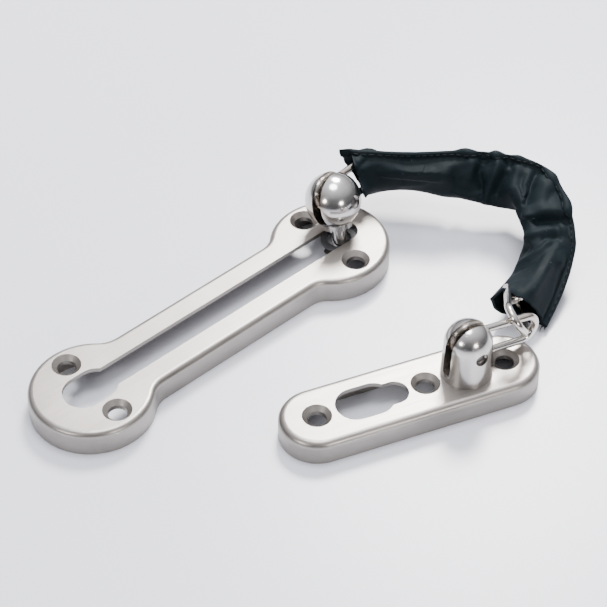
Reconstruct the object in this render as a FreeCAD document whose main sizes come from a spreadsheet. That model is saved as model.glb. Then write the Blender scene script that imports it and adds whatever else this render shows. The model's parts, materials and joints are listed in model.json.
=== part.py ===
"""Door chain guard: a slotted track plate, a ball stud that slides in it, a sleeved chain of seven
links, and an anchor plate that holds the other end of the chain on a swivelling post.

Millimetres. The origin is the middle of the track plate on the plane it is screwed to, X runs along
the slot towards the end away from the keyhole, and Z points out of the mounting surface.
"""
import FreeCAD, Part
import math
import os
import re
import Sketcher
from FreeCAD import Placement, Rotation, Vector

SIZES = {
    # both plates are pressed from one gauge of sheet, with the same countersunk screw dimples
    "sheet_gauge": 1.3, "screw_hole_r": 2.6, "dimple_rim_r": 4.0, "dimple_depth": 1.2, "dimple_skirt": 0.9,
    # track plate
    "track_height": 7.5, "lobe_x": 42.5, "lobe_r": 17.0, "waist_half": 10.6, "waist_fillet_r": 7.0,
    "track_edge_r": 1.6, "track_screw_x": 42.5, "track_screw_y": 10.875,
    "slot_half": 3.9, "slot_end_x": 48.1,
    "keyhole_half": 5.85, "keyhole_start_x": -45.0, "keyhole_end_x": -41.0,
    # anchor plate, along its own long axis from its middle screw hole
    "anchor_height": 7.2, "anchor_half": 10.4, "anchor_start": -30.8, "anchor_end": 22.2,
    "anchor_edge_r": 1.9, "anchor_screw_start": -31.0, "anchor_screw_end": 23.2,
    "store_half": 5.6, "store_start": -19.9, "store_end": -14.9,
    "store_neck_half": 3.95, "store_neck_end": -9.0,
    "post_offset": 11.9, "anchor_yaw": -19.88,
    # ball stud, measured down its own axis from the centre of the ball
    "ball_r": 8.0, "collar_r": 4.2, "collar_drop": 8.2, "neck_r": 2.3, "pivot_drop": 11.17,
    "foot_drop": 15.02, "foot_r": 4.9, "foot_gauge": 1.0, "tenon_r": 1.8, "rivet_r": 3.0, "rivet_gauge": 0.5,
    "link_slot": 2.9, "ball_slot_depth": 5.2,
    "stud_x": 46.0, "stud_y": -0.2, "stud_lean": 23.4, "lean_heading": 71.2, "ball_slot_heading": 12.5,
    # slide washer between the stud's foot and the track plate
    "washer_r": 5.3, "washer_bore_r": 3.5, "washer_gauge": 0.75, "running_gap": 0.05,
    # link pins
    "pin_r": 1.5, "pin_head_r": 1.9, "pin_recess": 0.8, "pin_inset": 0.35,
    # anchor post, measured up from the top of the anchor plate
    "post_base_r": 7.0, "post_top_r": 6.5, "post_cone": 10.8, "post_pin_up": 9.7, "post_slot_floor": 2.5,
    "post_tail_r": 2.5, "post_rivet_r": 3.4, "post_rivet_gauge": 0.5,
    "post_washer_r": 5.4, "post_washer_gauge": 1.0,
    # chain
    "wire_r": 1.05, "link_length": 27.0, "link_width": 10.4, "pin_play": 0.05,
    "hook_reach": 2.9, "hook_along": 15.06, "first_link_lift": 2.7, "first_link_rise": 1.2,
    "last_link_heading": -9.9, "last_link_slope": -11.0,
    # sleeve
    "sleeve_half": 6.2, "sleeve_half_tall": 7.8, "sleeve_wall": 0.6,
}

# How the middle links lie, in degrees: heading and slope of the length, and roll of the flat. Then, in
# millimetres, how far each touching end wire stands from the joint along its link, and how far the wire
# before the joint and the wire after it have slid round towards the inside of the bend.
LINK_LAY = {2: (-49.1, 0.3, -30.0, 1.5, 0.7, 0.0), 3: (-57.4, -4.6, 52.0, 1.2, 0.0, 0.0),
            4: (-115.7, -15.6, 135.0, 1.2, 1.2, 1.2), 5: (-160.7, 2.6, 40.0, 1.2, 1.2, 1.2),
            6: (-136.0, 28.0, 125.8, 1.2, 0.8, 0.8)}

# The stretch of sleeve carried by each link: where it starts and ends along the link from the joint
# before it, the angle of its flat, which is level at 0 and upright at 90, and how far its middle stands
# from the link's along that flat.
SLEEVE_LAY = {1: (12.5, 16.4, 68, 0.5), 2: (4.6, 19.0, 85, 0.8), 3: (2.4, 17.0, 70, 1.4),
              4: (4.6, 17.3, 45, 1.6), 5: (3.4, 18.4, 8, 1.2), 6: (3.2, 5.8, -25, 1.2)}

doc = FreeCAD.newDocument("door_chain_guard")
NODES = []


def write_sheet():
    """The driving sizes, one row each: a name in column A and a plain number in column B."""
    cells = doc.addObject("Spreadsheet::Sheet", "sizes")
    for row, (alias, value) in enumerate(SIZES.items(), start=1):
        cells.set(f"A{row}", alias)
        cells.set(f"B{row}", str(value))
        cells.setAlias(f"B{row}", alias)
    doc.recompute()
    return cells


sheet = write_sheet()


def size(alias):
    return float(getattr(sheet, alias))


# ---------------------------------------------------------------- building blocks

def in_sheet(expression):
    """The expression with every size name pointed at the spreadsheet."""
    def pointed(word):
        return "sizes." + word[0] if word[0] in SIZES else word[0]
    return re.sub(r"[a-z_]+", pointed, str(expression))


def primitive(kind, name, **bound):
    """A Part primitive whose properties are bound to expressions; x, y and z place it."""
    item = doc.addObject("Part::" + kind, name)
    places = {"x": "Placement.Base.x", "y": "Placement.Base.y", "z": "Placement.Base.z"}
    for prop, expression in bound.items():
        item.setExpression(places.get(prop, prop), in_sheet(expression))
    return item


def cylinder(name, radius, height, x=0, y=0, z=0):
    return primitive("Cylinder", name, Radius=radius, Height=height, x=x, y=y, z=z)


def cone(name, bottom_r, top_r, height, x=0, y=0, z=0):
    return primitive("Cone", name, Radius1=bottom_r, Radius2=top_r, Height=height, x=x, y=y, z=z)


def fuse(name, pieces):
    item = doc.addObject("Part::MultiFuse", name)
    item.Shapes = pieces
    item.Refine = True
    return item


def cut(name, base, tool):
    item = doc.addObject("Part::Cut", name)
    item.Base = base
    item.Tool = tool
    item.Refine = True
    return item


def stadium(name, start, end, radius, bottom, height):
    """An upright prism with round ends, from start to end along X between the end centres."""
    ends = [cylinder(f"{name}_{side}", radius, height, x=x, z=bottom)
            for side, x in (("a", start), ("b", end))]
    middle = primitive("Box", f"{name}_middle", Length=f"{end} - ({start})", Width=f"2 * ({radius})",
                       Height=height, x=start, y=f"-({radius})", z=bottom)
    return fuse(name, ends + [middle])


def round_edges(name, base, radius, wanted):
    """Fillet the edges of the base that the test picks out."""
    doc.recompute()
    item = doc.addObject("Part::Fillet", name)
    item.Base = base
    picked = [number for number, edge in enumerate(base.Shape.Edges, start=1) if wanted(edge)]
    item.Edges = [(number, radius, radius) for number in picked]
    return item


def ring(name, outer, bore, gauge):
    """A flat washer padded up from its own XY plane."""
    body = doc.addObject("PartDesign::Body", name + "_body")
    sketch = body.newObject("Sketcher::SketchObject", name + "_sketch")
    plane = [feature for feature in body.Origin.OriginFeatures if feature.Role == "XY_Plane"][0]
    sketch.AttachmentSupport = [(plane, "")]
    sketch.MapMode = "FlatFace"
    for number, radius in enumerate((outer, bore)):
        sketch.addGeometry(Part.Circle(Vector(0, 0, 0), Vector(0, 0, 1), size(radius)), False)
        sketch.addConstraint(Sketcher.Constraint("Coincident", number, 3, -1, 1))
        limit = sketch.addConstraint(Sketcher.Constraint("Radius", number, size(radius)))
        sketch.setExpression(f"Constraints[{limit}]", in_sheet(radius))
    pad = body.newObject("PartDesign::Pad", name + "_pad")
    pad.Profile = sketch
    pad.setExpression("Length", in_sheet(gauge))
    return body


def frame(origin, along, across):
    """A Placement with local X along the first direction and local Y towards the second."""
    normal = along.cross(across)
    return Placement(origin, Rotation(along, normal.cross(along), normal, "XYZ"))


def direction(heading, slope):
    return Rotation(heading, -slope, 0).multVec(Vector(1, 0, 0))


def rolled(along, roll):
    """The direction square to a length that is level at roll 0 and points up at roll 90."""
    level = Vector(0, 0, 1).cross(along).normalize()
    return Rotation(along, roll).multVec(level)


def towards(target, axis):
    """The part of the target direction that is square to the axis, as a unit vector."""
    return (target - axis * target.dot(axis)).normalize()


def node(item, label, placement=None):
    """Name a finished piece and put it where it belongs."""
    item.Label = label
    if placement is not None:
        item.Placement = placement
    NODES.append(item)


# ---------------------------------------------------------------- pressed plates

def dimple_skirts(name, spots, height):
    """The sheet pressed down round each screw hole, as solid cones for the holes to be cut from."""
    drop = "(dimple_depth + sheet_gauge)"
    return [cone(f"{name}_skirt_{number}", "screw_hole_r + dimple_skirt", "dimple_rim_r + dimple_skirt",
                 "dimple_depth", x=x, y=y, z=f"{height} - {drop}") for number, (x, y) in enumerate(spots)]


def screw_holes(name, spots, height):
    cones = [cone(f"{name}_sink_{number}", "screw_hole_r", "dimple_rim_r", "dimple_depth", x=x, y=y,
                  z=f"{height} - dimple_depth") for number, (x, y) in enumerate(spots)]
    bores = [cylinder(f"{name}_bore_{number}", "screw_hole_r", f"{height} * 2", x=x, y=y)
             for number, (x, y) in enumerate(spots)]
    return cones + bores


def is_top(height):
    return lambda edge: min(vertex.Z for vertex in edge.Vertexes) > height - 0.01


def track_blank(name, shrink, height):
    """The track's outline as a solid: two lobes, a waist, and fillets in the inside corners."""
    lobe, waist = f"(lobe_r - {shrink})", f"(waist_half - {shrink})"
    lobes = [cylinder(f"{name}_lobe_{side}", lobe, height, x=x)
             for side, x in (("a", "-lobe_x"), ("b", "lobe_x"))]
    bar = primitive("Box", f"{name}_waist", Length="2 * lobe_x", Width=f"2 * {waist}", Height=height,
                    x="-lobe_x", y=f"-{waist}")
    corner_r = size("waist_fillet_r") + (size("sheet_gauge") if shrink != "0" else 0)

    def is_corner(edge):
        low, high = sorted(vertex.Z for vertex in edge.Vertexes)[::len(edge.Vertexes) - 1]
        return high - low > 1 and abs(edge.CenterOfMass.x) < size("lobe_x") - 1
    return round_edges(name, fuse(name + "_sharp", lobes + [bar]), corner_r, is_corner)


def make_track():
    height, gauge = "track_height", "sheet_gauge"
    spots = [(f"{x}track_screw_x", f"{y}track_screw_y") for x in ("", "-") for y in ("", "-")]
    outside = round_edges("track_outside", track_blank("track_blank", "0", height), size("track_edge_r"),
                          is_top(size(height)))
    shell = cut("track_shell", outside, track_blank("track_inside", gauge, f"{height} - {gauge}"))
    pressed = fuse("track_pressed", [shell] + dimple_skirts("track", spots, height))
    slot = stadium("track_slot", "keyhole_end_x", "slot_end_x", "slot_half", f"{height} - 2 * {gauge}",
                   f"3 * {gauge}")
    keyhole = stadium("track_keyhole", "keyhole_start_x", "keyhole_end_x", "keyhole_half",
                      f"{height} - {gauge} - 0.1", f"3 * {gauge}")
    openings = fuse("track_openings", [slot, keyhole] + screw_holes("track", spots, height))
    node(cut("track_cut", pressed, openings), "track_plate")


def make_anchor(placement):
    height, gauge = "anchor_height", "sheet_gauge"
    spots = [("anchor_screw_start", 0), (0, 0), ("anchor_screw_end", 0)]
    blank = stadium("anchor_blank", "anchor_start", "anchor_end", "anchor_half", 0, height)
    outside = round_edges("anchor_outside", blank, size("anchor_edge_r"), is_top(size(height)))
    inside = stadium("anchor_inside", "anchor_start", "anchor_end", f"(anchor_half - {gauge})", 0,
                     f"{height} - {gauge}")
    shell = cut("anchor_shell", outside, inside)
    pressed = fuse("anchor_pressed", [shell] + dimple_skirts("anchor", spots, height))
    store = stadium("anchor_store", "store_start", "store_end", "store_half", f"{height} - {gauge} - 0.1",
                    f"3 * {gauge}")
    neck = stadium("anchor_store_neck", "store_end", "store_neck_end", "store_neck_half",
                   f"{height} - {gauge} - 0.1", f"3 * {gauge}")
    tail_hole = cylinder("anchor_tail_hole", "post_tail_r + running_gap", f"{height} * 2", x="post_offset")
    openings = fuse("anchor_openings", [store, neck, tail_hole] + screw_holes("anchor", spots, height))
    node(cut("anchor_cut", pressed, openings), "anchor_plate", placement)


# ---------------------------------------------------------------- ball stud and slide

def across_slot(name, half_width, floor, reach):
    """A slab along local X that cuts a link slot from its floor upwards."""
    return primitive("Box", name, Length=f"2 * {reach}", Width=f"2 * {half_width}", Height=f"{reach} * 3",
                     x=f"-{reach}", y=f"-{half_width}", z=floor)


def pin_tools(name, reach, up):
    """The bore for a link pin along local Y, and the recess its head sits in at the -Y end."""
    bore = primitive("Cylinder", name + "_bore", Radius="pin_r", Height=f"3 * {reach}",
                     y=f"1.5 * {reach}", z=up)
    recess = primitive("Cylinder", name + "_recess", Radius="pin_head_r", Height=reach,
                       y=f"-({reach}) + pin_recess + pin_inset", z=up)
    for tool in (bore, recess):
        tool.Placement = Placement(tool.Placement.Base, Rotation(Vector(1, 0, 0), 90))
    return [bore, recess]


def make_pin(label, reach, placement):
    """A plain link pin, pressed in across the slot with its end below the surface."""
    pin = primitive("Cylinder", label + "_rod", Radius="pin_r",
                    Height=f"2 * {reach} - pin_recess - 2 * pin_inset")
    pin.Placement = Placement(Vector(0, size(reach) - size("pin_inset"), 0), Rotation(Vector(1, 0, 0), 90))
    end = primitive("Cylinder", label + "_end", Radius="0.5 * pin_r", Height="0.5 * pin_inset")
    end.Placement = Placement(Vector(0, -size(reach) + size("pin_recess") + size("pin_inset"), 0),
                              Rotation(Vector(1, 0, 0), 90))
    node(fuse(label + "_whole", [pin, end]), label, placement)


def make_stud(placement):
    ball = primitive("Sphere", "ball", Radius="ball_r")
    collar = cylinder("ball_collar", "collar_r", "collar_drop", z="-collar_drop")
    neck = cylinder("stud_neck", "neck_r", "foot_drop", z="-foot_drop")
    tenon = cylinder("stud_tenon", "tenon_r", "foot_gauge * 2", z="-foot_drop - foot_gauge")
    rivet = cylinder("stud_rivet", "rivet_r", "rivet_gauge", z="-foot_drop - foot_gauge - rivet_gauge")
    solid = fuse("stud_solid", [ball, collar, neck, tenon, rivet])
    slab = across_slot("ball_slot", "link_slot / 2", "-ball_slot_depth", "ball_r")
    tools = fuse("stud_tools", [slab] + pin_tools("ball_pin", "ball_r", "0"))
    node(cut("stud_cut", solid, tools), "ball_stud", placement)
    make_pin("ball_pin", "ball_r", placement)
    below = placement.multVec(Vector(0, 0, -size("foot_drop") - size("foot_gauge")))
    node(ring("stud_foot", "foot_r", "tenon_r", "foot_gauge"), "stud_foot",
         Placement(below, placement.Rotation))
    height = size("track_height") - size("sheet_gauge") - size("running_gap") - size("washer_gauge")
    node(ring("slide_washer", "washer_r", "washer_bore_r", "washer_gauge"), "slide_washer",
         Placement(Vector(size("stud_x"), size("stud_y"), height), Rotation()))


# ---------------------------------------------------------------- anchor post

def make_post(placement):
    """The bullet-shaped post, its riveted tail and the washer under the plate."""
    below = "sheet_gauge + 2 * running_gap + post_washer_gauge"
    trunk = cone("post_trunk", "post_base_r", "post_top_r", "post_cone")
    dome = primitive("Sphere", "post_dome", Radius="post_top_r", z="post_cone")
    tail = cylinder("post_tail", "post_tail_r", f"{below} + 1", z=f"-({below})")
    rivet = cylinder("post_rivet", "post_rivet_r", "post_rivet_gauge", z=f"-({below}) - post_rivet_gauge")
    solid = fuse("post_solid", [trunk, dome, tail, rivet])
    slab = across_slot("post_slot", "link_slot / 2", "post_slot_floor", "post_base_r * 2")
    tools = fuse("post_tools", [slab] + pin_tools("post_pin", "post_top_r", "post_pin_up"))
    node(cut("post_cut", solid, tools), "chain_post", placement)
    pin_at = placement.multVec(Vector(0, 0, size("post_pin_up")))
    make_pin("post_pin", "post_top_r", Placement(pin_at, placement.Rotation))
    drop = size("sheet_gauge") + 2 * size("running_gap") + size("post_washer_gauge")
    node(ring("post_washer", "post_washer_r", "post_tail_r", "post_washer_gauge"), "post_washer",
         Placement(placement.multVec(Vector(0, 0, -drop)), placement.Rotation))


# ---------------------------------------------------------------- chain and sleeve

def make_link(number, start, along, across):
    """One welded wire link, from the middle of its first end wire along its length."""
    straight, tip = "(link_length - link_width)", "(link_width / 2 - wire_r)"
    name = f"link_{number}"
    sides = [primitive("Cylinder", f"{name}_side_{side}", Radius="wire_r", Height=straight,
                       x=tip, y=f"{sign}{tip}") for side, sign in (("a", ""), ("b", "-"))]
    ends = [primitive("Torus", f"{name}_end_{side}", Radius1=tip, Radius2="wire_r", x=x)
            for side, x in (("a", tip), ("b", f"{tip} + {straight}"))]
    for side in sides:
        side.Placement.Rotation = Rotation(Vector(0, 1, 0), 90)
    for end, turn in zip(ends, (90, -90)):
        end.Angle3 = 180
        end.Placement.Rotation = Rotation(Vector(0, 0, 1), turn)
    node(fuse(name, sides + ends), f"chain_link_{number}", frame(start, along, across))


def make_sleeve(number, start, along, stretch):
    """The stretch of sleeve round one link: a flattened tube, its flat leaning over by the given angle."""
    begin, end, lean, shift = stretch
    name, straight = f"sleeve_{number}", "(sleeve_half_tall - sleeve_half)"
    outer = stadium(name + "_outer", f"-{straight}", straight, "sleeve_half", 0, end - begin)
    inner = stadium(name + "_inner", f"-{straight}", straight, "(sleeve_half - sleeve_wall)", 0,
                    end - begin)
    tall = rolled(along, lean)
    middle = start + along * begin + tall * shift
    place = Placement(middle, Rotation(tall, along.cross(tall), along, "XYZ"))
    node(cut(name + "_tube", outer, inner), name, place)


def stud_placement():
    """The stud leans in its slot, towards one heading, about the middle of the sheet's thickness."""
    lean = Rotation(Vector(0, 0, 1), size("lean_heading")) * Rotation(Vector(0, 1, 0), size("stud_lean"))
    turn = Rotation(Vector(0, 0, 1), size("ball_slot_heading") - size("lean_heading"))
    rotation = lean * turn
    pivot = Vector(size("stud_x"), size("stud_y"), size("track_height") - size("sheet_gauge") / 2)
    return Placement(pivot + rotation.multVec(Vector(0, 0, size("pivot_drop"))), rotation)


def make_chain(stud):
    """The seven links, the sleeve round them, and the post that the last link ends on."""
    reach = size("link_length") - 2 * size("wire_r")
    end_r = size("link_width") / 2 - size("wire_r")
    pin_to_wire = size("pin_r") + size("wire_r") + size("pin_play")
    lift = Rotation(Vector(0, 1, 0), -size("first_link_lift"))
    along = stud.Rotation.multVec(lift.multVec(Vector(1, 0, 0)))
    up = stud.Rotation.multVec(lift.multVec(Vector(0, 0, 1)))
    joint = stud.Base
    play, rise = end_r - pin_to_wire, size("first_link_rise")
    start = joint - along * (end_r - math.sqrt(play ** 2 - rise ** 2)) + up * rise
    make_link(1, start, along, up)
    make_sleeve(1, start + along * pin_to_wire, along, SLEEVE_LAY[1])
    for number, (heading, slope, roll, gap, slid_before, slid_after) in LINK_LAY.items():
        after = direction(heading, slope)
        joint = start + along * (reach - gap) - towards(after, along) * slid_before
        start = joint - after * gap - towards(along, after) * slid_after
        along = after
        make_link(number, start, along, rolled(along, roll))
        make_sleeve(number, start + along * gap, along, SLEEVE_LAY[number])
    hook = start + along * (reach - size("hook_reach"))
    along = direction(size("last_link_heading"), size("last_link_slope"))
    up = rolled(along, 90)
    pin = hook - along * size("hook_along") - up * end_r
    pin.z = size("anchor_height") + size("running_gap") + size("post_pin_up")
    make_link(7, pin - along * pin_to_wire, along, up)
    return pin


make_track()
stud_at = stud_placement()
make_stud(stud_at)
post_pin = make_chain(stud_at)
plate_top = post_pin - Vector(0, 0, size("post_pin_up"))
make_post(Placement(plate_top, Rotation(Vector(0, 0, 1), size("last_link_heading"))))
anchor_turn = Rotation(Vector(0, 0, 1), size("anchor_yaw"))
anchor_at = Vector(post_pin.x, post_pin.y, 0) - anchor_turn.multVec(Vector(size("post_offset"), 0, 0))
make_anchor(Placement(anchor_at, anchor_turn))

doc.recompute()
failed = [item.Name for item in doc.Objects if {"Invalid", "Error"} & set(item.State)]
if failed:
    raise RuntimeError(f"failed features: {failed}")
os.makedirs("parts", exist_ok=True)
for item in NODES:
    if item.Shape.isNull() or not item.Shape.isValid():
        raise RuntimeError(f"bad shape: {item.Label}")
    item.Shape.exportStep(f"parts/{item.Label}.step")
    print(item.Label, len(item.Shape.Solids), round(item.Shape.Volume, 1))
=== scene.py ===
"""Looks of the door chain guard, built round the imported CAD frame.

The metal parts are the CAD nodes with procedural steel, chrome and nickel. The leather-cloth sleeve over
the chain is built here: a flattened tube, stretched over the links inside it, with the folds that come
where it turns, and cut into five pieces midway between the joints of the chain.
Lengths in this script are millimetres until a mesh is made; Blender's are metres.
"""
import json
import math

import bpy
import numpy as np
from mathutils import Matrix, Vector


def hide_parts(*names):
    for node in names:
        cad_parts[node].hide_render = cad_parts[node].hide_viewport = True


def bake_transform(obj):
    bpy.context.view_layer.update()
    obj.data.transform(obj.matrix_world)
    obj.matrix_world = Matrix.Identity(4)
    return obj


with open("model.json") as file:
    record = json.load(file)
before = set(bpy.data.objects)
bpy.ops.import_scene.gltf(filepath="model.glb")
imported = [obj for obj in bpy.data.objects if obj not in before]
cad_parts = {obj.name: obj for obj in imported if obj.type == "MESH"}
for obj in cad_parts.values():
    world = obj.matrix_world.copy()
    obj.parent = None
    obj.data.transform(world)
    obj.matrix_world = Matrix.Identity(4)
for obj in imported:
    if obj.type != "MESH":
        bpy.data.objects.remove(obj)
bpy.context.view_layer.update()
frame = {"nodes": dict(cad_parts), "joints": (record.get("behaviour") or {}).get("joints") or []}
MM = 0.001

# ---------------------------------------------------------------- camera, floor and light

CAMERA_AT = (-265.8, -332.5, 432.5)
CAMERA_TARGET = (25.04, -8.45, 0.0)
LENS = 130.6
AWAY = (0.668, 0.744)  # the camera's heading along the floor


def aim(item, target):
    item.rotation_mode = "QUATERNION"
    item.rotation_quaternion = (Vector(target) * MM - item.location).to_track_quat("-Z", "Y")


def add_camera():
    data = bpy.data.cameras.new("camera")
    data.lens = LENS
    data.sensor_width = 36
    data.clip_start = 0.01
    camera = bpy.data.objects.new("camera", data)
    bpy.context.scene.collection.objects.link(camera)
    camera.location = Vector(CAMERA_AT) * MM
    aim(camera, CAMERA_TARGET)
    bpy.context.scene.camera = camera


def add_light(name, at, target, size, watts, colour):
    """A round area light."""
    data = bpy.data.lights.new(name, "AREA")
    data.energy = watts
    data.color = colour
    data.shape = "DISK"
    data.size = size
    light = bpy.data.objects.new(name, data)
    bpy.context.scene.collection.objects.link(light)
    light.location = Vector(at) * MM
    aim(light, target)


# ---------------------------------------------------------------- node building

class Nodes:
    """A material's node tree with short calls to add to it."""

    def __init__(self, name):
        self.material = bpy.data.materials.new(name)
        self.material.use_nodes = True
        self.tree = self.material.node_tree
        self.shader = self.tree.nodes["Principled BSDF"]

    def add(self, kind, values=None, **properties):
        node = self.tree.nodes.new(kind)
        for key, value in properties.items():
            setattr(node, key, value)
        for key, value in (values or {}).items():
            node.inputs[key].default_value = value
        return node

    def link(self, source, target):
        self.tree.links.new(source, target)

    def coordinates(self, scale, turn=0.0, output="Object"):
        """Texture coordinates stretched by a scale on each axis, after a turn about Z."""
        place = self.add("ShaderNodeTexCoord")
        turned = self.add("ShaderNodeMapping", {"Rotation": (0, 0, math.radians(-turn))})
        stretched = self.add("ShaderNodeMapping", {"Scale": scale})
        self.link(place.outputs[output], turned.inputs["Vector"])
        self.link(turned.outputs["Vector"], stretched.inputs["Vector"])
        return stretched.outputs["Vector"]

    def noise(self, vector, scale, detail=4.0, roughness=0.55, distortion=0.0):
        node = self.add("ShaderNodeTexNoise", {"Scale": scale, "Detail": detail, "Roughness": roughness,
                                               "Distortion": distortion})
        self.link(vector, node.inputs["Vector"])
        return node.outputs["Fac"]

    def ramp(self, factor, *stops):
        """A colour ramp through (position, colour or grey level) stops."""
        node = self.add("ShaderNodeValToRGB")
        elements = node.color_ramp.elements
        while len(elements) < len(stops):
            elements.new(0.5)
        for element, (position, colour) in zip(elements, stops):
            element.position = position
            element.color = (*colour, 1) if isinstance(colour, tuple) else (colour, colour, colour, 1)
        self.link(factor, node.inputs["Fac"])
        return node.outputs["Color"]

    def span(self, factor, low, high, from_low=0.0, from_high=1.0):
        node = self.add("ShaderNodeMapRange", {"From Min": from_low, "From Max": from_high, "To Min": low,
                                               "To Max": high})
        self.link(factor, node.inputs["Value"])
        return node.outputs["Result"]

    def mix(self, factor, first, second, blend="MIX"):
        node = self.add("ShaderNodeMix", data_type="RGBA", blend_type=blend)
        if isinstance(factor, float):
            node.inputs[0].default_value = factor
        else:
            self.link(factor, node.inputs[0])
        for source, target in ((first, node.inputs[6]), (second, node.inputs[7])):
            if isinstance(source, tuple):
                target.default_value = (*source, 1)
            else:
                self.link(source, target)
        return node.outputs[2]

    def math(self, operation, first, second):
        node = self.add("ShaderNodeMath", operation=operation)
        for source, target in ((first, node.inputs[0]), (second, node.inputs[1])):
            if isinstance(source, (int, float)):
                target.default_value = source
            else:
                self.link(source, target)
        return node.outputs["Value"]

    def bump(self, height, strength, distance, before=None):
        node = self.add("ShaderNodeBump", {"Strength": strength, "Distance": distance})
        self.link(height, node.inputs["Height"])
        if before is not None:
            self.link(before, node.inputs["Normal"])
        return node.outputs["Normal"]

    def finish(self, **sockets):
        """Connect or set the shader's sockets, whose names have underscores for spaces here."""
        for key, value in sockets.items():
            socket = self.shader.inputs[key.replace("_", " ")]
            if hasattr(value, "links"):
                self.link(value, socket)
            else:
                socket.default_value = (*value, 1) if isinstance(value, tuple) else value
        return self.material


# ---------------------------------------------------------------- metals

def scratches(nodes, turn, length, width, share):
    """Fine straight scratches: the thin crests of stretched noise, 0 to 1."""
    streaks = nodes.noise(nodes.coordinates((1000 / length, 1000 / width, 1000 / width), turn), 1.0, 2.0)
    return nodes.ramp(streaks, (share, 0.0), (share + 0.03, 1.0), (share + 0.05, 0.0))


def brushed_steel(name, turn):
    """Satin stainless sheet, brushed along the plate."""
    nodes = Nodes(name)
    grain = nodes.noise(nodes.coordinates((70, 3800, 3800), turn), 1.0, 5.0, 0.7)
    patches = nodes.noise(nodes.coordinates((1, 1, 1)), 55.0, 3.0)
    colour = nodes.ramp(patches, (0.3, (0.30, 0.277, 0.256)), (0.7, (0.37, 0.344, 0.32)))
    shaded = nodes.mix(0.35, colour, nodes.ramp(grain, (0.3, 0.35), (0.7, 0.62)), "OVERLAY")
    marks = scratches(nodes, turn + 24, 14, 0.25, 0.72)
    level = nodes.math("ADD", nodes.span(grain, 0.30, 0.46, 0.25, 0.75), nodes.span(patches, -0.05, 0.05))
    bumped = nodes.bump(grain, 0.18, 0.00006)
    return nodes.finish(Base_Color=shaded, Metallic=1.0, Roughness=level,
                        Normal=nodes.bump(marks, 0.12, 0.00003, bumped))


def polished(name, light, tint, smooth, dull, scratch=0.1):
    """Polished metal with smudges, a faint second tint in patches, and hairline scratches."""
    nodes = Nodes(name)
    whole = nodes.coordinates((1, 1, 1))
    patches = nodes.noise(whole, 120.0, 3.0, 0.6)
    colour = nodes.mix(nodes.span(patches, 0.0, 1.0, 0.45, 0.75), light, tint)
    smudges = nodes.noise(whole, 260.0, 5.0, 0.65)
    marks = nodes.math("MAXIMUM", scratches(nodes, 20, 9, 0.18, 0.70),
                       scratches(nodes, -55, 7, 0.15, 0.72))
    ripple = nodes.noise(whole, 420.0, 2.0)
    bumped = nodes.bump(ripple, 0.08, 0.00012)
    return nodes.finish(Base_Color=colour, Metallic=1.0,
                        Roughness=nodes.span(smudges, smooth, dull, 0.3, 0.75),
                        Normal=nodes.bump(marks, scratch, 0.00004, bumped))


# Near-black washer colour, partly its own dark nylon and partly painted shade: it stands for the deep shadow
# under the plate beside the stud's neck.
def nylon_and_painted_shade(name):
    nodes = Nodes(name)
    mottle = nodes.noise(nodes.coordinates((1, 1, 1)), 900.0, 4.0)
    colour = nodes.ramp(mottle, (0.3, (0.035, 0.035, 0.038)), (0.7, (0.06, 0.06, 0.065)))
    return nodes.finish(Base_Color=colour, Roughness=nodes.span(mottle, 0.42, 0.6),
                        Normal=nodes.bump(mottle, 0.2, 0.00005))


def give(material, *names):
    for name in names:
        data = frame["nodes"][name].data
        for index in range(max(1, len(data.materials))):
            if index < len(data.materials):
                data.materials[index] = material
            else:
                data.materials.append(material)


ANCHOR_YAW = -19.88


def dress_metal():
    give(brushed_steel("plate_steel_track", 0.0), "track_plate")
    give(brushed_steel("plate_steel_anchor", ANCHOR_YAW), "anchor_plate")
    give(polished("polished_steel", (0.60, 0.585, 0.57), (0.52, 0.44, 0.38), 0.13, 0.24), "ball_stud",
         "stud_foot", "post_washer")
    give(polished("post_steel", (0.60, 0.58, 0.56), (0.50, 0.46, 0.42), 0.15, 0.28, 0.22), "chain_post")
    # The pins' near-black base colour is painted shade: it darkens the recesses the pins sit in.
    give(polished("pin_steel", (0.16, 0.15, 0.145), (0.10, 0.09, 0.085), 0.3, 0.45, 0.25), "ball_pin",
         "post_pin")
    give(polished("chain_steel", (0.68, 0.65, 0.61), (0.60, 0.51, 0.44), 0.10, 0.22),
         *[f"chain_link_{number}" for number in range(1, 8)])
    give(nylon_and_painted_shade("washer_nylon"), "slide_washer")


# ---------------------------------------------------------------- the sleeve's general shape

# Where the flattened tube runs: its inner edge, its outer edge, and how far its front and back stand from
# the flat between them when it is slack.
STATIONS = [
    ((62.2, 6.8, 6.5), (60.1, 12.6, 23.0), 2.9, 2.2),
    ((68.2, 5.2, 7.5), (68.9, 4.5, 22.0), 3.2, 3.4),
    ((75.1, 0.4, 7.7), (75.0, -0.7, 21.5), 3.6, 3.6),
    ((79.6, -9.4, 7.7), (82.9, -7.2, 22.0), 4.2, 4.0),
    ((84.8, -14.4, 7.7), (89.5, -13.4, 22.0), 4.4, 4.2),
    ((90.7, -21.9, 7.5), (96.5, -21.0, 21.0), 4.6, 4.4),
    ((92.4, -30.5, 8.0), (100.2, -28.6, 20.0), 4.6, 4.4),
    ((93.0, -32.4, 7.0), (97.8, -36.4, 19.0), 4.6, 4.4),
    ((89.0, -33.8, 5.0), (94.0, -44.8, 16.0), 4.4, 4.0),
    ((79.9, -39.0, 5.0), (89.9, -50.4, 11.0), 4.0, 3.6),
    ((71.7, -43.3, 6.0), (85.4, -53.2, 7.0), 3.6, 3.0),
    ((64.0, -46.1, 8.0), (77.3, -57.4, 4.0), 3.4, 2.6),
    ((57.6, -48.4, 10.0), (67.7, -61.1, 1.5), 4.4, 2.4),
]
RINGS = 261
ACROSS = 44          # steps from one edge to the other on each side
WALL = 0.6
FLANGE = 0.13        # share of the width that is the sewn flange
FLANGE_HALF = 0.68
FLANGE_SLOPE = 2.4
FLOOR_GAP = 0.25
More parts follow.
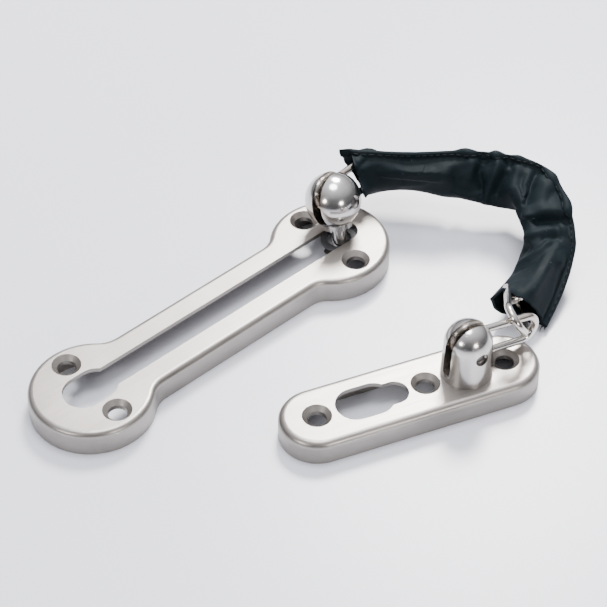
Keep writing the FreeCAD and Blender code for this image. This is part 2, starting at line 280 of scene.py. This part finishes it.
# The first stretch's lowest points are raised towards this height, above the track plate's top at 7.5 mm,
# so that it clears the plate as the stud slides. The raise ends this far along, fading over the last length.
TRACK_CLEAR, TRACK_REACH, TRACK_EASE = 7.75, 24.0, 10.0


def softened(rows, sigma):
    """Rows smoothed along their length, running on straight past both ends."""
    reach = int(sigma * 3) + 1
    before = 2 * rows[0] - rows[reach:0:-1]
    after = 2 * rows[-1] - rows[-2:-reach - 2:-1]
    padded = np.concatenate([before, rows, after])
    weights = np.exp(-0.5 * (np.arange(-reach, reach + 1) / sigma) ** 2)
    weights /= weights.sum()
    return sum(weight * padded[k:k + len(rows)] for k, weight in enumerate(weights))


def unit(vectors):
    return vectors / np.linalg.norm(vectors, axis=-1, keepdims=True)


def sleeve_axes():
    """The tube's middle line, its directions along, across the flat and out to the front, and its sizes."""
    inner, outer = (np.array([row[k] for row in STATIONS]) for k in (0, 1))
    slack = np.array([row[2:] for row in STATIONS])
    middle = (inner + outer) / 2
    far = np.concatenate([[0], np.cumsum(np.linalg.norm(np.diff(middle, axis=0), axis=1))])
    at = np.linspace(0, far[-1], RINGS)
    step = at[1]
    inner, outer, slack = (
        softened(np.stack([np.interp(at, far, column) for column in rows.T], 1), 2.6 / step)
        for rows in (inner, outer, slack))
    middle = (inner + outer) / 2
    along = unit(np.gradient(softened(middle, 2.0 / step), axis=0))
    flat = outer - inner
    half = np.linalg.norm(flat, axis=1) / 2
    front = unit(np.cross(along, flat))
    across = unit(flat)
    length = np.concatenate([[0], np.cumsum(np.linalg.norm(np.diff(middle, axis=0), axis=1))])
    return middle, along, across, front, half, slack, length


MIDDLE, ALONG, WIDE, FRONT, HALF, SLACK, LENGTH = sleeve_axes()
V = np.cos(np.pi * np.arange(ACROSS + 1) / ACROSS)  # 1 at the outer, sewn edge and -1 at the inner one
# The column of each point round a ring.
ROUND = np.concatenate([np.arange(ACROSS + 1), np.arange(ACROSS - 1, 0, -1)])
SIDE = np.concatenate([np.ones(ACROSS + 1), -np.ones(ACROSS - 1)])             # 1 in front and -1 behind


def in_tube(points):
    """Each point's nearest ring, and where it is across the flat and out of it."""
    offset = points[:, None, :] - MIDDLE[None]
    off_plane = np.abs((offset * ALONG[None]).sum(2))
    ring = (off_plane + 0.35 * np.linalg.norm(offset, axis=2)).argmin(1)
    from_middle = points - MIDDLE[ring]
    return ring, (from_middle * WIDE[ring]).sum(1), (from_middle * FRONT[ring]).sum(1)


def chain_points():
    """Points all over the links inside the sleeve, no further than half a millimetre apart on each edge."""
    spots = []
    for number in range(1, 7):
        mesh = frame["nodes"][f"chain_link_{number}"].data
        corners = np.array([vertex.co for vertex in mesh.vertices]) / MM
        for a, b in {tuple(edge.vertices) for edge in mesh.edges}:
            steps = int(np.linalg.norm(corners[b] - corners[a]) / 0.5) + 1
            spots.append(corners[a] + np.linspace(0, 1, steps + 1)[:, None] * (corners[b] - corners[a]))
    return np.concatenate(spots)


def pushed_out(points, side):
    """How far the chain pushes the sleeve out of its flat on one side, at each ring and column."""
    ring, x, y = in_tube(points)
    past = np.abs(((points - MIDDLE[ring]) * ALONG[ring]).sum(1))
    inside = (np.abs(x) < HALF[ring] + 1.5) & (past < 1.0)
    ring, x, y = ring[inside], x[inside], y[inside] * side
    push = np.zeros((RINGS, ACROSS + 1))
    columns = V[None] * HALF[:, None]
    step = LENGTH[-1] / (RINGS - 1)
    reach = 1.0
    for shift in range(-3, 4):
        near = np.clip(ring + shift, 0, RINGS - 1)
        room = reach ** 2 - (shift * step) ** 2
        if room < 0:
            continue
        for column in range(ACROSS + 1):
            close = (columns[near, column] - x) ** 2 < room
            np.maximum.at(push[:, column], near[close], y[close] + WALL + 0.25)
    return push


def stretched(push, base):
    """A taut skin over what pushes it: relaxed everywhere, and held out by the push and the slack shape."""
    skin = np.maximum(push, base)
    step = LENGTH[-1] / (RINGS - 1)
    columns = V[None] * HALF[:, None]
    gaps = np.abs(np.diff(columns, axis=1))
    right, left = gaps[:, 1:], gaps[:, :-1]
    for _ in range(260):
        inner = (skin[:, 2:] / right + skin[:, :-2] / left) / (right + left) * 2
        pull = (1 / right + 1 / left) / (right + left) * 2
        padded = np.concatenate([skin[:1], skin, skin[-1:]])[:, 1:-1]
        inner = inner + 1.6 * (padded[2:] + padded[:-2]) / step ** 2
        pull = pull + 3.2 / step ** 2
        skin[:, 1:-1] = np.maximum(inner / pull, np.maximum(push, base)[:, 1:-1])
    return skin


def seamed(skin, push):
    """The skin again, brought down to the flat sewn flange along its outer edge except over the chain."""
    inward = np.clip((1 - 2 * FLANGE - V)[None] * HALF[:, None], 0, None)
    return np.maximum(np.minimum(skin, FLANGE_HALF + FLANGE_SLOPE * inward), push)


def slack_profile(slack):
    """Half thickness of the slack tube: an oval, with the flat sewn flange along its outer edge."""
    body_edge = 1 - 2 * FLANGE
    body = (V + 1) / (body_edge + 1) * 2 - 1
    oval = np.sqrt(np.clip(1 - body ** 2, 0, 1))
    seam = FLANGE_HALF * np.sqrt(np.clip(1 - np.clip((V - 0.93) / 0.07, 0, 1) ** 2, 0, 1)) * (V > 0)
    return np.maximum(slack[:, None] * oval[None], seam[None])


def distance_to(path, length, x):
    """Distance over the cloth from each point to a line of (length along, distance across) points."""
    best = np.full(length.shape, 1e9)
    for (l0, x0), (l1, x1) in zip(path[:-1], path[1:]):
        dl, dx = l1 - l0, x1 - x0
        t = np.clip(((length - l0) * dl + (x - x0) * dx) / (dl * dl + dx * dx + 1e-9), 0, 1)
        best = np.minimum(best, np.hypot(length - l0 - t * dl, x - x0 - t * dx))
    return best


# Folds: the side (1 front, -1 back), how far out (or in, below 0), how wide, how far it leans along
# the tube, and the line it follows as (length along, distance across) points. "sharp" ones are creases.
FOLDS = [
    # the curl and the two deep folds before the bend
    (1, 1.1, 1.8, 0.0, False, [(31.2, 7.8), (32.6, 5.6), (33.0, 3.0), (32.2, 1.0)]),
    (1, -1.7, 1.1, 0.0, False, [(34.6, 8.6), (35.9, 5.2), (35.0, 2.6), (36.9, -1.4), (37.8, -4.6)]),
    (1, 1.5, 1.5, -0.5, False, [(38.6, 8.0), (40.4, 4.6), (39.8, 1.2), (39.3, -2.0), (39.4, -5.0)]),
    (1, -1.2, 1.2, 0.0, False, [(42.6, 7.2), (43.6, 3.8), (42.6, 0.6), (41.6, -4.6)]),
    (1, -0.9, 0.8, 0.0, True, [(28.4, 2.4), (29.3, 0.2), (30.1, -3.0)]),
    (1, 0.8, 1.0, 0.0, False, [(29.6, -3.9), (33.9, -4.9), (37.9, -3.6)]),
    (1, 0.7, 1.6, 0.0, False, [(45.2, 7.0), (46.6, 3.2), (46.4, -1.0)]),
    # the top of the bend, folded over on itself
    (1, -1.6, 1.0, 0.0, False, [(51.2, 8.2), (51.8, 5.0), (52.8, 2.2), (55.6, 0.2), (59.4, -0.4)]),
    (1, 1.7, 2.4, 0.6, False, [(55.2, 7.2), (56.2, 4.8), (58.4, 3.0), (61.6, 2.0)]),
    (1, -0.7, 0.8, 0.0, True, [(57.6, 6.6), (58.6, 4.6), (60.8, 3.4)]),
    (1, -0.9, 0.8, 0.0, True, [(48.6, 3.0), (50.0, 0.6), (53.4, -1.6), (57.2, -2.4)]),
    (1, 1.3, 1.9, 1.2, False, [(64.6, -1.6), (63.9, 0.8), (63.3, 3.4), (63.2, 6.6)]),
    (1, -2.2, 1.0, 0.8, True, [(67.2, -3.6), (67.3, -1.0), (66.3, 2.2), (65.8, 5.2), (66.2, 8.6)]),
    (1, -0.9, 1.1, 0.0, False, [(61.0, -2.2), (63.4, -3.4), (66.0, -4.6)]),
    # the turn back down to the plate
    (1, 0.9, 1.3, 0.0, False, [(72.4, -4.2), (71.5, -0.8), (70.0, 3.0)]),
    (1, -0.8, 1.0, 0.0, False, [(75.2, -5.4), (74.4, -0.6), (72.8, 3.2)]),
    (1, 0.7, 1.1, 0.0, False, [(69.2, 5.4), (72.2, 6.3), (76.0, 6.2), (81.8, 5.2)]),
    (1, -0.7, 1.3, 0.0, False, [(68.4, 3.6), (72.0, 4.4), (76.4, 3.8)]),
    (1, 0.8, 1.1, 0.0, False, [(79.0, -6.6), (78.8, -3.6), (77.4, -0.6), (74.8, 1.4)]),
    (1, -0.5, 1.2, 0.0, False, [(82.2, -7.0), (81.8, -3.0), (80.0, 1.0)]),
    (1, 0.35, 1.6, 0.0, False, [(84.0, 2.2), (90.0, 0.8), (97.0, -2.0)]),
    # the smooth first stretch
    (1, 0.45, 0.9, 0.0, False, [(1.0, 7.6), (5.7, 5.6), (12.2, 4.0)]),
    (1, -0.55, 3.2, 0.0, False, [(6.0, 1.6), (13.0, 1.6), (22.0, 0.6)]),
    (1, 0.3, 1.4, 0.0, False, [(14.0, -2.6), (20.0, -1.6), (27.0, 2.6)]),
    # the far side
    (-1, 0.9, 1.8, 0.0, False, [(30.0, 6.8), (32.0, 1.0), (31.0, -5.0)]),
    (-1, -1.1, 1.3, 0.0, False, [(36.0, 7.0), (35.0, 2.0), (37.0, -4.0)]),
    (-1, 0.8, 1.6, 0.0, False, [(44.0, 6.0), (46.0, 0.0), (45.0, -5.0)]),
    (-1, -0.9, 1.2, 0.0, False, [(54.0, 6.6), (56.0, 1.0), (54.0, -4.0)]),
    (-1, 0.9, 2.0, 0.0, False, [(62.0, 6.0), (63.0, 0.0), (61.0, -4.0)]),
    (-1, -1.0, 1.2, 0.0, False, [(70.0, 7.0), (69.0, 2.0), (71.0, -5.0)]),
    (-1, 0.5, 1.6, 0.0, False, [(82.0, 6.0), (80.0, 0.0), (83.0, -5.0)]),
]
# How far the cut edge at each mouth stands out along the tube, beside the general slant.
MOUTH_FRONT, MOUTH_BACK, MOUTH_REACH = 0.9, 2.0, 5.0


def wrinkles(length, x, side):
    """Small irregular wrinkles, mostly across the tube and deepest round the bend."""
    from mathutils import noise
    bend = np.exp(-((length - 58) / 24) ** 2)
    values = np.zeros(length.shape)
    for index in np.ndindex(length.shape):
        spot = Vector((length[index] / 7.5, x[index] / 15, 3.1 * side[index]))
        fine = Vector((length[index] / 2.8, x[index] / 5.5, 7.7 + 2.3 * side[index]))
        values[index] = (noise.noise(spot) * (0.25 + 0.75 * bend[index])
                         + 0.28 * noise.noise(fine) * (0.3 + bend[index]))
    return values


def ring_points(half_front, half_back, shrink):
    """Points of every ring, on the outside or a wall's thickness in from it."""
    column = V[ROUND]
    x = column[None] * (HALF[:, None] - shrink)
    height = np.where(SIDE[None] > 0, half_front[:, ROUND], half_back[:, ROUND])
    oval = np.sqrt(np.clip(1 - column ** 2, 0, 1))[None]
    if shrink:
        height = np.maximum(height - shrink, 0.05 * oval)
    height = height * (oval > 1e-6)
    return (MIDDLE[:, None] + WIDE[:, None] * x[..., None]
            + FRONT[:, None] * (height * SIDE[None])[..., None]), x


def normals_of(points):
    """Normals of a grid of rings, pointing out."""
    round_tube = np.roll(points, -1, axis=1) - np.roll(points, 1, axis=1)
    down_tube = np.gradient(points, axis=0)
    return unit(np.cross(round_tube, down_tube))


def sleeve_surface():
    """The outside and inside points of the whole sleeve, ring by ring."""
    points = chain_points()
    base_front, base_back = (slack_profile(SLACK[:, k]) for k in (0, 1))
    push_front, push_back = pushed_out(points, 1), pushed_out(points, -1)
    front = seamed(stretched(push_front, base_front), push_front)
    back = seamed(stretched(push_back, base_back), push_back)
    room = np.where(SIDE[None] > 0, (front - push_front)[:, ROUND], (back - push_back)[:, ROUND])
    outside, x = ring_points(front, back, 0.0)
    inside, _ = ring_points(front, back, WALL)
    normals = normals_of(outside)
    length = np.broadcast_to(LENGTH[:, None], x.shape)
    side = np.broadcast_to(SIDE[None], x.shape)
    soft = np.clip((1 - np.abs(V[ROUND])) / 0.12, 0, 1)[None]
    shift = 0.55 * wrinkles(length, x, side) * (0.35 + 0.65 * soft)
    lean = np.zeros(x.shape)
    for fold_side, out, width, leaning, sharp, path in FOLDS:
        away = distance_to(path, length, x)
        if sharp:
            shape = np.exp(-np.sqrt(away ** 2 + 0.04 * width ** 2) / width)
        else:
            shape = np.exp(-(away / width) ** 2)
        on_side = 1 / (1 + np.exp(-(side * fold_side * (1 - np.abs(V[ROUND]) ** 8)[None]) * 6))
        shift = shift + out * shape * on_side
        lean = lean + leaning * shape * on_side
    shift = softened(np.maximum(shift, -np.clip(room - 0.1, 0, None)), 1.0)
    move = normals * shift[..., None] + ALONG[:, None] * lean[..., None]
    outside, inside = outside + move, inside + move
    first = np.clip(1 - LENGTH / MOUTH_REACH, 0, 1)[:, None] ** 2
    last = np.clip(1 - (LENGTH[-1] - LENGTH) / MOUTH_REACH, 0, 1)[:, None] ** 2
    column = V[ROUND][None]
    mouth = first * np.where(SIDE[None] > 0, MOUTH_FRONT * (0.5 + 0.5 * column),
                             -MOUTH_BACK * np.clip(column + 0.8, 0, 1))
    ragged = 0.16 * np.sin(7.0 * column + SIDE) + 0.1 * np.sin(19.0 * column - 2 * SIDE)
    mouth = mouth + (first + last) * ragged
    mouth = mouth - last * 0.5 * np.sin(2.6 * column + 0.6) * (SIDE[None] > 0)
    outside, inside = (surface + ALONG[:, None] * mouth[..., None] for surface in (outside, inside))
    for surface in (outside, inside):
        surface[..., 2] = np.maximum(surface[..., 2], FLOOR_GAP + (0 if surface is outside else WALL))
    lowest, highest = (edge(outside[..., 2], axis=1)[:, None] for edge in (np.min, np.max))
    over_track = np.clip((TRACK_REACH - LENGTH) / TRACK_EASE, 0, 1)[:, None]
    lift = np.clip(TRACK_CLEAR - lowest, 0, None) * over_track
    for surface in (outside, inside):
        surface[..., 2] += lift * np.clip((highest - surface[..., 2]) / (highest - lowest), 0, 1)
    return outside, inside


def joint_at(name):
    return np.array(next(joint for joint in frame["joints"] if joint["name"] == name)["pos_m"]) / MM


def ring_near(point):
    return int(in_tube(np.array([point], float))[0][0])


def piece_mesh(name, outside, inside, out_normals, in_normals, first, last):
    """One closed piece of the sleeve, from its first ring to its last, with its normals and cloth map."""
    count = outside.shape[1]
    rows = last - first + 1
    points = np.concatenate([surface[first:last + 1].reshape(-1, 3) for surface in (outside, inside)]) * MM
    faces, loop_normals, loop_maps = [], [], []
    round_far = np.concatenate([[0], np.cumsum(np.full(count, 2 * math.pi * 6.6 / count))])

    def add_face(corners, normals, maps):
        faces.append(corners)
        loop_normals.extend(normals)
        loop_maps.extend(maps)
    for row in range(rows - 1):
        for spot in range(count):
            after = (spot + 1) % count
            around = ((row, spot, 0), (row, after, 1), (row + 1, after, 1), (row + 1, spot, 0))
            maps = [((first + r) * LENGTH[-1] / (RINGS - 1) * MM, round_far[spot + far] * MM)
                    for r, _, far in around]
            outer = [r * count + c for r, c, _ in around]
            add_face(outer, [out_normals[first + r, c] for r, c, _ in around], maps)
            inner = [rows * count + index for index in outer][::-1]
            add_face(inner, [in_normals[first + r, c] for r, c, _ in around][::-1], maps[::-1])
    for row, sign in ((0, -1), (rows - 1, 1)):
        normal = ALONG[first + row] * sign
        for spot in range(count):
            after = (spot + 1) % count
            rim = [row * count + spot, (rows + row) * count + spot,
                   (rows + row) * count + after, row * count + after]
            maps = [(LENGTH[first + row] * MM, round_far[spot + far] * MM) for far in (0, 0, 1, 1)]
            if sign > 0:
                rim, maps = rim[::-1], maps[::-1]
            add_face(rim, [normal] * 4, maps)
    mesh = bpy.data.meshes.new(name)
    mesh.from_pydata([tuple(p) for p in points], [], faces)
    layer = mesh.uv_layers.new(name="cloth")
    layer.data.foreach_set("uv", np.array(loop_maps, np.float32).ravel())
    mesh.polygons.foreach_set("use_smooth", [True] * len(faces))
    mesh.normals_split_custom_set([tuple(n) for n in loop_normals])
    mesh.update()
    piece = bpy.data.objects.new(name, mesh)
    bpy.context.scene.collection.objects.link(piece)
    return piece


PIECES = [(1, ("sleeve_1", "sleeve_2")), (2, ("sleeve_3",)), (3, ("sleeve_4",)), (4, ("sleeve_5",)),
          (5, ("sleeve_6",))]


def leather():
    """Thin satin leather-cloth: fine grain, faint scuffs and dust, and a slightly uneven shine."""
    nodes = Nodes("sleeve_leather")
    cloth = nodes.coordinates((1, 1, 1), output="UV")
    grain = nodes.noise(cloth, 2600.0, 5.0, 0.6)
    cells = nodes.add("ShaderNodeTexVoronoi", {"Scale": 1700.0, "Randomness": 1.0},
                      feature="DISTANCE_TO_EDGE")
    nodes.link(cloth, cells.inputs["Vector"])
    creased = nodes.span(cells.outputs["Distance"], 0.0, 1.0, 0.0, 0.25)
    broad = nodes.noise(cloth, 90.0, 4.0, 0.6)
    colour = nodes.ramp(broad, (0.3, (0.0026, 0.0064, 0.0086)), (0.7, (0.0044, 0.0098, 0.0128)))
    specks = nodes.ramp(nodes.noise(cloth, 900.0, 2.0, 0.5), (0.735, 0.0), (0.76, 1.0))
    drawn_out = nodes.noise(nodes.coordinates((0.35, 1, 1), 35, "UV"), 420.0, 5.0, 0.7)
    scuffs = nodes.ramp(drawn_out, (0.62, 0.0), (0.8, 1.0))
    worn = nodes.mix(nodes.math("MULTIPLY", scuffs, 0.35), colour, (0.010, 0.018, 0.021))
    dusty = nodes.mix(nodes.math("MULTIPLY", specks, 0.5), worn, (0.07, 0.085, 0.085))
    level = nodes.math("ADD", nodes.span(broad, 0.56, 0.70, 0.3, 0.7), nodes.span(grain, -0.04, 0.06))
    bumped = nodes.bump(creased, 0.22, 0.00006, nodes.bump(grain, 0.25, 0.00008))
    rumple = nodes.bump(nodes.noise(cloth, 330.0, 3.0, 0.6), 0.25, 0.0004, bumped)
    return nodes.finish(Base_Color=dusty, Roughness=level, Normal=rumple, Specular_IOR_Level=0.12)


STITCH, STITCH_GAP, STITCH_RADIUS = 1.35, 0.55, 0.17
SEAM_AT = 0.895  # where the row of stitches runs, as a share of the half width


def on_surface(outside, normals, far, column):
    """A point and its normal, from how far along the tube and a column round it, both between points."""
    row = min(max(far / LENGTH[-1] * (RINGS - 1), 0), RINGS - 1.001)
    r, c = int(row), int(column)
    fr, fc = row - r, column - c
    count = outside.shape[1]
    corners = ((r, c % count, (1 - fr) * (1 - fc)), (r + 1, c % count, fr * (1 - fc)),
               (r, (c + 1) % count, (1 - fr) * fc), (r + 1, (c + 1) % count, fr * fc))
    return (sum(outside[i, j] * share for i, j, share in corners),
            unit(sum(normals[i, j] * share for i, j, share in corners)))


def thread_tube(line, radii, sides=6):
    """Points and faces of a closed, tapered length of thread along a line."""
    line = np.array(line)
    ahead = unit(np.gradient(line, axis=0))
    first = unit(np.cross(ahead, (0.3, 0.2, 0.93)))
    second = np.cross(ahead, first)
    angle = np.arange(sides) * 2 * math.pi / sides
    rings = (line[:, None] + radii * (first[:, None] * np.cos(angle)[None, :, None]
                                      + second[:, None] * np.sin(angle)[None, :, None]))
    faces = [(r * sides + k, r * sides + (k + 1) % sides,
              (r + 1) * sides + (k + 1) % sides, (r + 1) * sides + k)
             for r in range(len(line) - 1) for k in range(sides)]
    faces += [tuple(range(sides))[::-1], tuple((len(line) - 1) * sides + k for k in range(sides))]
    return rings.reshape(-1, 3), faces


def joined_mesh(name, parts, material):
    points, faces, count = [], [], 0
    for part_points, part_faces in parts:
        points.append(part_points)
        faces += [tuple(index + count for index in face) for face in part_faces]
        count += len(part_points)
    mesh = bpy.data.meshes.new(name)
    mesh.from_pydata([tuple(p) for p in np.concatenate(points) * MM], [], faces)
    mesh.polygons.foreach_set("use_smooth", [True] * len(faces))
    mesh.materials.append(material)
    piece = bpy.data.objects.new(name, mesh)
    bpy.context.scene.collection.objects.link(piece)
    return piece


def seam_stitches(outside, normals, first, last):
    """Two rows of running stitches along the flange, one on each face, between two rings."""
    parts = []
    for front in (True, False):
        column = math.acos(SEAM_AT) / math.pi * ACROSS
        column = column if front else 2 * ACROSS - column
        far = LENGTH[first] + (0.8 if front else 0.8 + (STITCH + STITCH_GAP) / 2)
        while far + STITCH < LENGTH[last] - 0.3:
            line = []
            for step in (0.0, 0.12, 0.5, 0.88, 1.0):
                point, normal = on_surface(outside, normals, far + step * STITCH, column)
                line.append(point + normal * (0.16 if 0 < step < 1 else -0.12))
            parts.append(thread_tube(line, np.array([0.5, 1, 1, 1, 0.5])[:, None, None] * STITCH_RADIUS))
            far += STITCH + STITCH_GAP
    return parts


def thread():
    nodes = Nodes("sleeve_thread")
    twist = nodes.noise(nodes.coordinates((1, 1, 1)), 2400.0, 3.0)
    colour = nodes.ramp(twist, (0.3, (0.004, 0.006, 0.007)), (0.7, (0.016, 0.02, 0.022)))
    return nodes.finish(Base_Color=colour, Roughness=nodes.span(twist, 0.55, 0.75),
                        Normal=nodes.bump(twist, 0.4, 0.00005),
                        Specular_IOR_Level=0.15)


def loose_ends(outside, row, bottom):
    """Frayed thread ends at a mouth's sewn corner: a long one that hangs, and a few short ones."""
    corner = outside[row, 0]
    out = ALONG[row] * (1 if row else -1)
    down = np.array([0.0, 0.0, -1.0])
    parts = []
    for k, (reach, spread, drop) in enumerate(((1.0, 0.2, 0.0), (0.8, -0.5, 0.2), (0.9, 0.7, 0.1), bottom)):
        side = WIDE[row] * spread
        line = [corner - WIDE[row] * (0.5 + 0.35 * k) - out * 0.4 + (out + side) * reach * t * 1.6
                + down * drop * t * t * 2.0 for t in (0, 0.25, 0.5, 0.75, 1.0)]
        parts.append(thread_tube(line, np.array([1, 1, 0.9, 0.8, 0.45])[:, None, None] * 0.15))
    return parts


def make_sleeve():
    outside, inside = sleeve_surface()
    out_normals, in_normals = normals_of(outside), -normals_of(inside)
    material, thread_material = leather(), thread()
    joints = [joint_at(f"link_{k}_to_{k + 1}") for k in range(1, 7)]
    cuts = [0] + [ring_near((joints[k] + joints[k + 1]) / 2) for k in range(4)] + [RINGS - 1]
    for (number, nodes), first, last in zip(PIECES, cuts[:-1], cuts[1:]):
        piece = piece_mesh(f"sleeve_part_{number}", outside, inside, out_normals, in_normals, first, last)
        piece.data.materials.append(material)
        at = ring_near(joints[number - 1])
        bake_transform(piece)
        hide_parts(*nodes)
        parts = seam_stitches(outside, out_normals, first, last)
        if first == 0:
            parts += loose_ends(outside, 0, (1.1, 0.4, 0.0))
        if last == RINGS - 1:
            parts += loose_ends(outside, RINGS - 1, (1.7, 0.1, 0.3))
        stitches = joined_mesh(f"sleeve_stitches_{number}", parts, thread_material)
        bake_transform(stitches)


# ---------------------------------------------------------------- stage

def floor_material():
    nodes = Nodes("floor")
    cloud = nodes.noise(nodes.coordinates((1, 1, 1)), 3.0, 2.0)
    colour = nodes.ramp(cloud, (0.3, (0.775, 0.785, 0.85)), (0.7, (0.79, 0.80, 0.862)))
    return nodes.finish(Base_Color=colour,
                        Roughness=nodes.span(cloud, 0.24, 0.28), Specular_IOR_Level=0.35)


def make_stage():
    mesh = bpy.data.meshes.new("floor")
    reach, level = 3.0, -0.00008
    corners = ((-reach, -reach), (reach, -reach), (reach, reach), (-reach, reach))
    mesh.from_pydata([(x, y, level) for x, y in corners], [], [(0, 1, 2, 3)])
    floor = bpy.data.objects.new("floor", mesh)
    bpy.context.scene.collection.objects.link(floor)
    mesh.materials.append(floor_material())


def make_world():
    """Pale studio surroundings, brighter behind the object and overhead than on the camera's side."""
    world = bpy.data.worlds.new("studio")
    bpy.context.scene.world = world
    world.use_nodes = True
    tree = world.node_tree
    background = tree.nodes["Background"]
    place = tree.nodes.new("ShaderNodeTexCoord")
    towards = tree.nodes.new("ShaderNodeVectorMath")
    towards.operation = "DOT_PRODUCT"
    towards.inputs[1].default_value = (AWAY[0] * 0.35, AWAY[1] * 0.35, 0.937)
    ramp = tree.nodes.new("ShaderNodeValToRGB")
    while len(ramp.color_ramp.elements) < 4:
        ramp.color_ramp.elements.new(0.5)
    for element, (position, level) in zip(ramp.color_ramp.elements,
                                          ((0.46, 0.07), (0.66, 0.16), (0.86, 0.6), (1, 0.9))):
        element.position = position
        element.color = (level * 0.97, level * 0.98, level * 1.04, 1)
    half = tree.nodes.new("ShaderNodeMapRange")
    half.inputs["From Min"].default_value = -1
    tree.links.new(place.outputs["Generated"], towards.inputs[0])
    tree.links.new(towards.outputs["Value"], half.inputs["Value"])
    tree.links.new(half.outputs["Result"], ramp.inputs["Fac"])
    tree.links.new(ramp.outputs["Color"], background.inputs["Color"])
    background.inputs["Strength"].default_value = 1.7


def make_lights():
    """A softbox high behind the object, one overhead, and two small ones either side of the camera."""
    centre = Vector((40, -15, 8))
    for name, towards, far, size, watts, colour in (
            ("key", (0.53, 0.40, 0.75), 1000, 0.30, 18, (1.0, 0.985, 0.965)),
            ("overhead", (0.06, 0.08, 1.0), 950, 0.42, 7, (0.97, 0.98, 1.0)),
            ("left_box", (-0.88, -0.097, 0.47), 900, 0.16, 2.2, (1.0, 0.99, 0.98)),
            ("right_box", (-0.117, -0.916, 0.385), 900, 0.15, 2.2, (1.0, 0.97, 0.94))):
        add_light(name, centre + Vector(towards) * far, centre, size, watts, colour)


add_camera()
make_world()
make_lights()
make_stage()
dress_metal()
make_sleeve()
